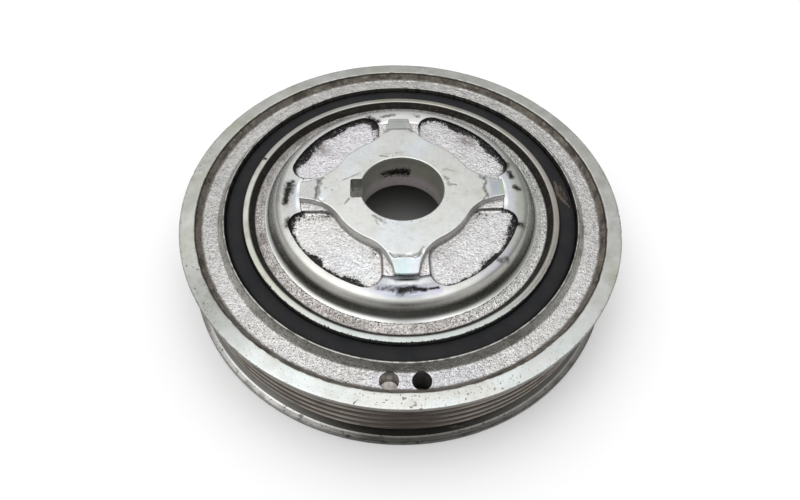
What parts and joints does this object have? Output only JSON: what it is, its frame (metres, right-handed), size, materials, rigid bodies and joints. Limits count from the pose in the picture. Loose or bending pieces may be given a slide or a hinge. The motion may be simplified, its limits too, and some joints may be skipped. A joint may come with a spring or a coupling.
{
  "type": "crankshaft pulley",
  "caption": "Crankshaft pulley with a keyed hub, a bonded rubber damping ring and an outer rim grooved for a ribbed belt.",
  "frame": {"origin": "on the bore axis, in the plane of the rear flange that the pulley rests on", "axes": "+Z along the bore axis, out of the front face; the boss's arms lie on X and Y, and the keyway is at -X"},
  "size_m": [0.1454, 0.1454, 0.0326],
  "materials": {
    "hub_iron": "machined and rough cast, oil marks",
    "damper_rubber": "satin, scuffed",
    "rim_iron": "machined face, rough cast recess, dark belt grooves"
  },
  "bodies": {
    "root": {"hub": "hub_iron", "rubber_ring": "damper_rubber", "pulley_rim": "rim_iron"}
  },
  "joints": []
}
